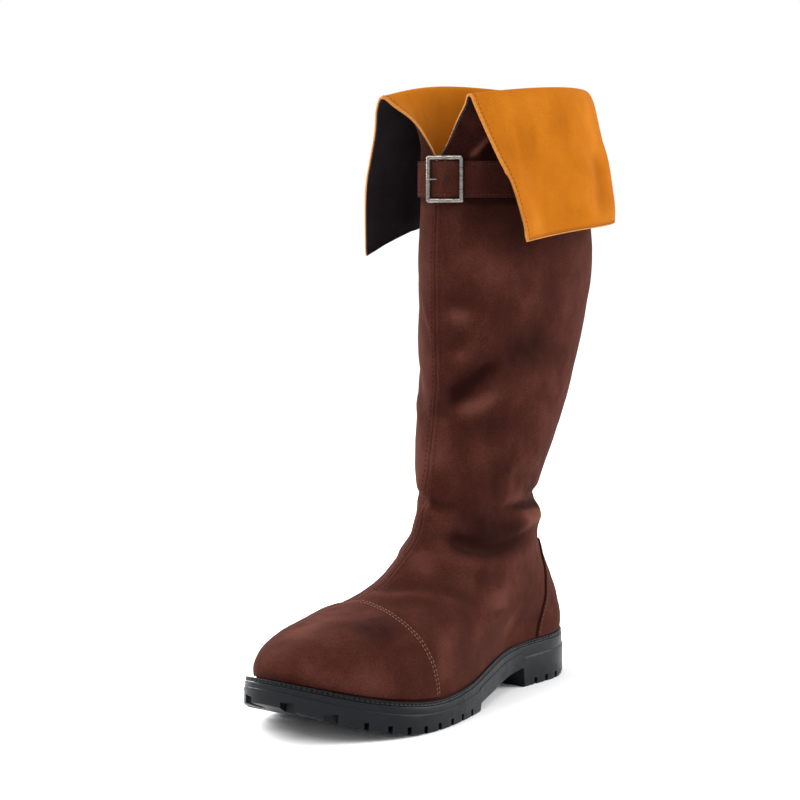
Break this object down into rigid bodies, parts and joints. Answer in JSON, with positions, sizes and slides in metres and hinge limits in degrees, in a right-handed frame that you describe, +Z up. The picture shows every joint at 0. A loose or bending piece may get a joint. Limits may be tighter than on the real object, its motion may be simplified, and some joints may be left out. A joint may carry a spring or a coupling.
{
  "type": "medieval boot",
  "caption": "Tall brown suede boot with an ochre turned-down cuff slit at the front, a buckled strap under it, a rounded toe cap and a black lugged sole. Left foot.",
  "frame": {"origin": "on the floor, under the middle of the heel: the middle of the heel's flat resting face", "axes": "+Z up along the shaft, -Y towards the toe, +X towards the outer side of this left boot"},
  "size_m": [0.1396, 0.3428, 0.4214],
  "materials": {
    "rubber_black": "moulded rubber, satin, slightly dusty",
    "insole_dark": "smooth lining leather, matt",
    "suede_brown": "dark reddish brown suede with brushed nap",
    "suede_orange": "ochre suede with brushed nap, its other side dark brown",
    "metal_silver": "cast silver-coloured metal, darkened in the corners"
  },
  "bodies": {
    "root": {"outsole": "rubber_black", "welt": "rubber_black", "insole": "insole_dark", "upper": "suede_brown", "toe_cap": "suede_brown", "heel_counter": "suede_brown", "cuff": "suede_orange", "strap": "suede_brown", "buckle_frame": "metal_silver", "buckle_prong": "metal_silver"}
  },
  "joints": []
}
